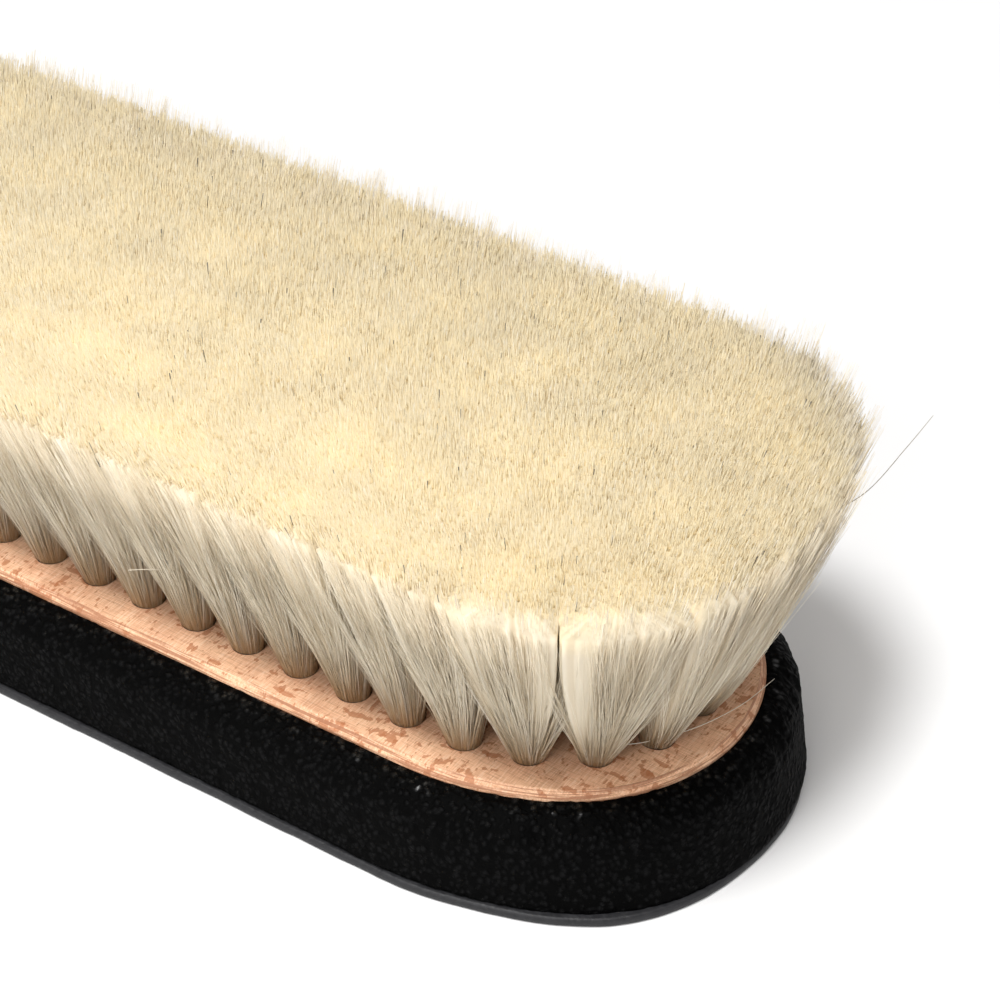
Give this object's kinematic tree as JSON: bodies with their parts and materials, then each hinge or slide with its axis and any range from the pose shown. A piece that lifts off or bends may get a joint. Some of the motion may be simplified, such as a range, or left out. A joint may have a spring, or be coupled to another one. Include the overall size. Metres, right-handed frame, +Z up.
{
  "type": "shoe shine brush",
  "caption": "Oval beech shoe shine brush with dense level-trimmed pale hair, black leather round its side and on its back.",
  "frame": {"origin": "on the floor under the middle of the brush, which lies on its back with the hair up", "axes": "+X along the brush to the near end of the picture, +Y to the back, +Z up to the trimmed hair"},
  "size_m": [0.1834, 0.0616, 0.0457],
  "materials": {
    "beech": "bare, sanded",
    "leather": "matte pebble grain",
    "steel": "flat wire",
    "hair": "natural goat hair, trimmed level"
  },
  "bodies": {
    "root": {"wood_block": "beech", "side_leather": "leather", "back_leather": "leather", "tuft_anchors": "steel", "rim_tufts_back": "hair", "rim_tufts_front": "hair", "rim_tufts_near_end": "hair", "rim_tufts_far_end": "hair", "inner_tufts_row_1": "hair", "inner_tufts_row_2": "hair", "inner_tufts_row_3": "hair"}
  },
  "joints": []
}
